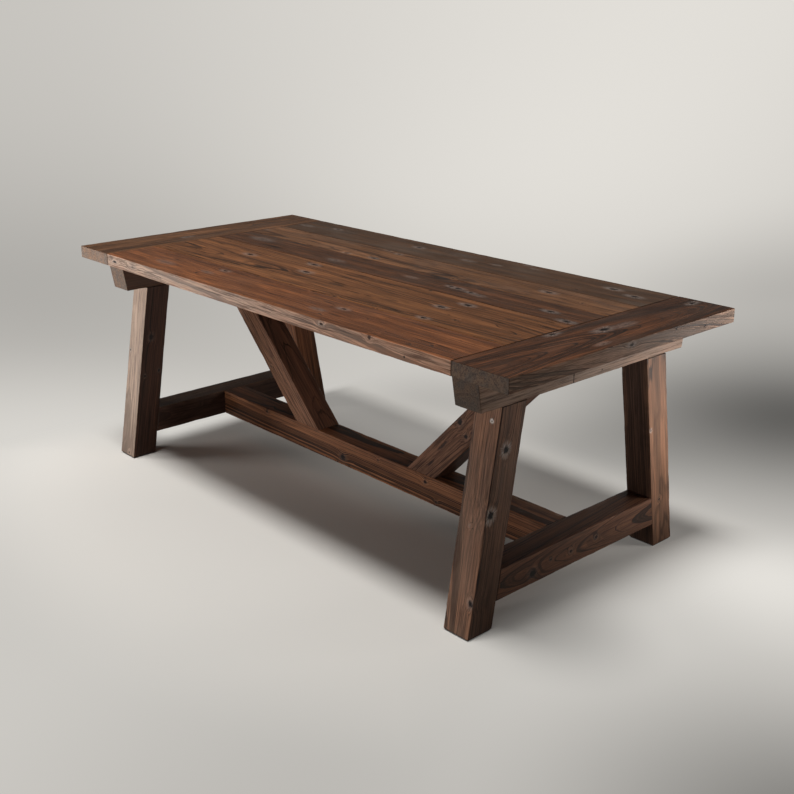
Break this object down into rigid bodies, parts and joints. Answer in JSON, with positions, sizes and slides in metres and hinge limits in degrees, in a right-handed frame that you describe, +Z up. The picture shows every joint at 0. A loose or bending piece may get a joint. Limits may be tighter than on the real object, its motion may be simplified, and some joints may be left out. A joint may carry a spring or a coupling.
{
  "type": "dining table",
  "caption": "Rustic trestle dining table: planked top with breadboard ends on splayed square legs, tied by cross rails, a low stretcher and slanting braces.",
  "frame": {"origin": "on the floor, under the middle of the tabletop", "axes": "+X along the table to its right end, +Y across it to its back, +Z up"},
  "size_m": [2.065, 0.95, 0.762],
  "materials": {
    "tabletop_wood": "brown stained and waxed softwood with knots, satin",
    "frame_wood": "brown stained softwood with knots and checks, matt",
    "joint_wood": "bare hardwood",
    "screw_steel": "zinc plated steel",
    "pad_plastic": "moulded, matt"
  },
  "bodies": {
    "root": {"top_plank_1": "tabletop_wood", "top_plank_2": "tabletop_wood", "top_plank_3": "tabletop_wood", "top_plank_4": "tabletop_wood", "top_plank_5": "tabletop_wood", "breadboard_left": "tabletop_wood", "breadboard_right": "tabletop_wood", "cap_left": "frame_wood", "cap_right": "frame_wood", "leg_front_left": "frame_wood", "leg_back_left": "frame_wood", "leg_front_right": "frame_wood", "leg_back_right": "frame_wood", "rail_left": "frame_wood", "rail_right": "frame_wood", "stretcher": "frame_wood", "brace_left": "frame_wood", "brace_right": "frame_wood", "seam_spline_1": "joint_wood", "seam_spline_2": "joint_wood", "seam_spline_3": "joint_wood", "seam_spline_4": "joint_wood", "breadboard_pegs_left": "joint_wood", "breadboard_pegs_right": "joint_wood", "stretcher_pegs": "joint_wood", "cap_left_screws": "screw_steel", "cap_left_washers": "screw_steel", "cap_right_screws": "screw_steel", "cap_right_washers": "screw_steel", "brace_foot_screws": "screw_steel", "brace_foot_washers": "screw_steel", "brace_head_screws": "screw_steel", "brace_head_washers": "screw_steel", "foot_pad_front_left": "pad_plastic", "foot_pad_back_left": "pad_plastic", "foot_pad_front_right": "pad_plastic", "foot_pad_back_right": "pad_plastic"}
  },
  "joints": []
}
